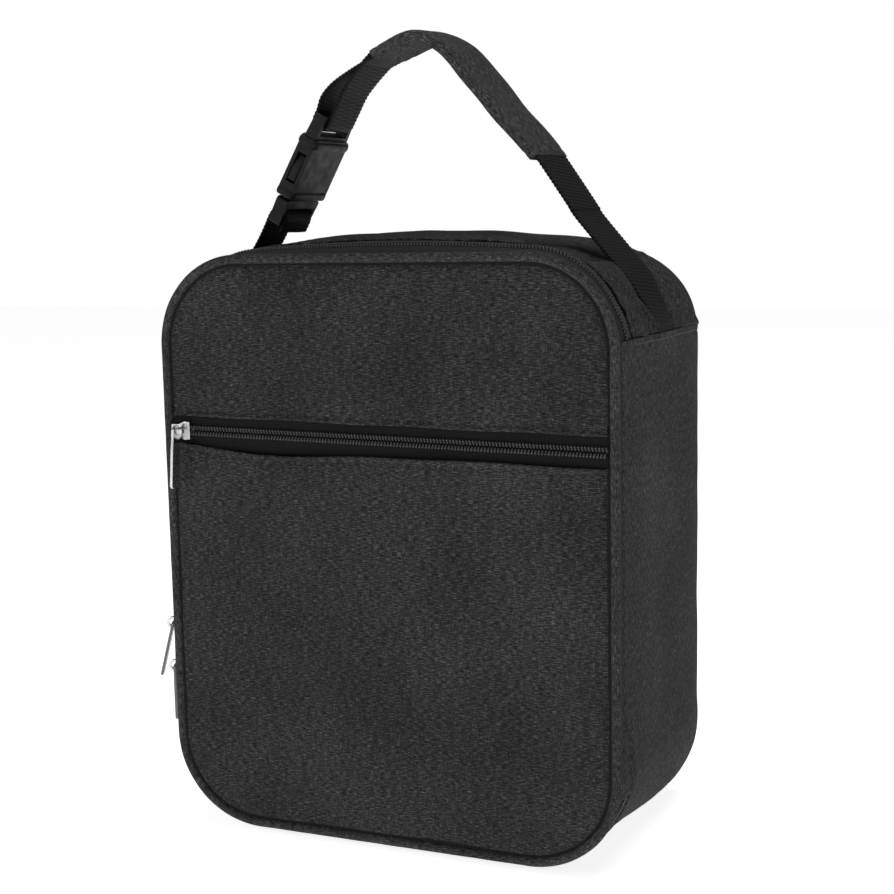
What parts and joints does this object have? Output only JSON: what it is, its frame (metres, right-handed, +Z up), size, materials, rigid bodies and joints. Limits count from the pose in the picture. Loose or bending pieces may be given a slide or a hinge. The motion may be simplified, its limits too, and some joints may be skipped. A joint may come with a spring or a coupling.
{
  "type": "insulated lunch bag",
  "caption": "Upright insulated lunch bag with a zipped front lid hinged at one side, a zipped front pocket and a webbing handle that opens at a buckle.",
  "frame": {"origin": "centre of the base, on the surface that the bag stands on", "axes": "+X towards the hinge side, -Y out of the front lid, +Z up"},
  "size_m": [0.235, 0.1341, 0.3642],
  "materials": {
    "heather": "charcoal heathered polyester canvas",
    "piping": "the same canvas wrapped round a cord",
    "foam": "white closed cell foam sheet",
    "lining": "silver foil faced lining film",
    "pocket_lining": "thin black polyester lining",
    "binding": "black woven seam binding",
    "zip_tape": "black woven zipper tape",
    "zip_coil": "dark grey nylon coil",
    "slider_metal": "polished nickel plate",
    "pull_metal": "gunmetal plate",
    "webbing": "black ribbed polypropylene webbing",
    "buckle_plastic": "black acetal, satin"
  },
  "bodies": {
    "bag": {"top_gusset": "heather", "side_and_base_panel": "heather", "back_panel": "heather", "wall_foam": "foam", "wall_lining": "lining", "back_foam": "foam", "back_lining": "lining", "opening_binding": "binding", "body_zip_tape": "zip_tape", "body_zip_coil": "zip_coil", "right_anchor_webbing": "webbing", "left_anchor_webbing": "webbing"},
    "lid": {"upper_front_panel": "heather", "lower_front_panel": "heather", "pocket_lining": "pocket_lining", "lid_foam": "foam", "lid_lining": "lining", "front_piping": "piping", "lid_seam_binding": "binding", "lid_zip_tape": "zip_tape", "lid_zip_coil": "zip_coil", "pocket_tape_upper": "zip_tape", "pocket_tape_lower": "zip_tape", "pocket_coil_upper": "zip_coil", "pocket_coil_lower": "zip_coil"},
    "pocket_slider": {"pocket_slider": "slider_metal"},
    "pocket_pull": {"pocket_slider_pull": "slider_metal"},
    "upper_slider": {"upper_slider": "slider_metal"},
    "upper_pull": {"upper_slider_pull": "pull_metal"},
    "lower_slider": {"lower_slider": "slider_metal"},
    "lower_pull": {"lower_slider_pull": "pull_metal"},
    "handle_base": {"buckle_male": "buckle_plastic", "left_loop_webbing": "webbing"},
    "prong_front": {"buckle_prong_front": "buckle_plastic"},
    "prong_rear": {"buckle_prong_rear": "buckle_plastic"},
    "handle_arc": {"handle_webbing": "webbing", "grip_sleeve": "heather", "buckle_female": "buckle_plastic"}
  },
  "joints": [
    {"name": "lid_hinge", "type": "hinge", "parent": "bag", "child": "lid", "pos_m": [0.1086, -0.05985, 0.131], "axis": [0, 0, 1], "range_deg": [0, 170]},
    {"name": "pocket_slide", "type": "slide", "parent": "lid", "child": "pocket_slider", "axis": [0.9999, 0, -0.0135], "range_m": [0, 0.195]},
    {"name": "pocket_pull_swing", "type": "hinge", "parent": "pocket_slider", "child": "pocket_pull", "pos_m": [-0.0985, -0.06935, 0.18693], "axis": [-1, 0, 0], "range_deg": [0, 100]},
    {"name": "upper_slide", "type": "slide", "parent": "bag", "child": "upper_slider", "axis": [0, 0, 1], "range_m": [0, 0.05]},
    {"name": "upper_pull_swing", "type": "hinge", "parent": "upper_slider", "child": "upper_pull", "pos_m": [-0.1169, -0.0499, 0.092], "axis": [-0.3875, 0.9219, 0], "range_deg": [0, 150]},
    {"name": "lower_slide", "type": "slide", "parent": "bag", "child": "lower_slider", "axis": [0, 0, -1], "range_m": [0, 0.022]},
    {"name": "lower_pull_swing", "type": "hinge", "parent": "lower_slider", "child": "lower_pull", "pos_m": [-0.1169, -0.0499, 0.071], "axis": [-0.3875, 0.9219, 0], "range_deg": [0, 40]},
    {"name": "handle_swing", "type": "hinge", "parent": "bag", "child": "handle_base", "pos_m": [0, 0, 0.2812], "axis": [1, 0, 0], "range_deg": [-40, 40], "deforming": ["right_anchor_webbing", "left_anchor_webbing"]},
    {"name": "buckle_release", "type": "hinge", "parent": "handle_base", "child": "handle_arc", "pos_m": [0.0741, 0, 0.2812], "axis": [0, 1, 0], "range_deg": [0, 110]},
    {"name": "prong_front_squeeze", "type": "hinge", "parent": "handle_base", "child": "prong_front", "pos_m": [-0.06815, -0.0111, 0.29203], "axis": [-0.8721, 0, 0.4894], "range_deg": [0, 15], "stiffness_Nm_per_rad": 0.3},
    {"name": "prong_rear_squeeze", "type": "hinge", "parent": "handle_base", "child": "prong_rear", "pos_m": [-0.06815, 0.0111, 0.29203], "axis": [0.8721, 0, -0.4894], "range_deg": [0, 15], "stiffness_Nm_per_rad": 0.3}
  ],
  "couplings": [
    {"joint": "prong_rear_squeeze", "follows": "prong_front_squeeze", "ratio": 1}
  ]
}
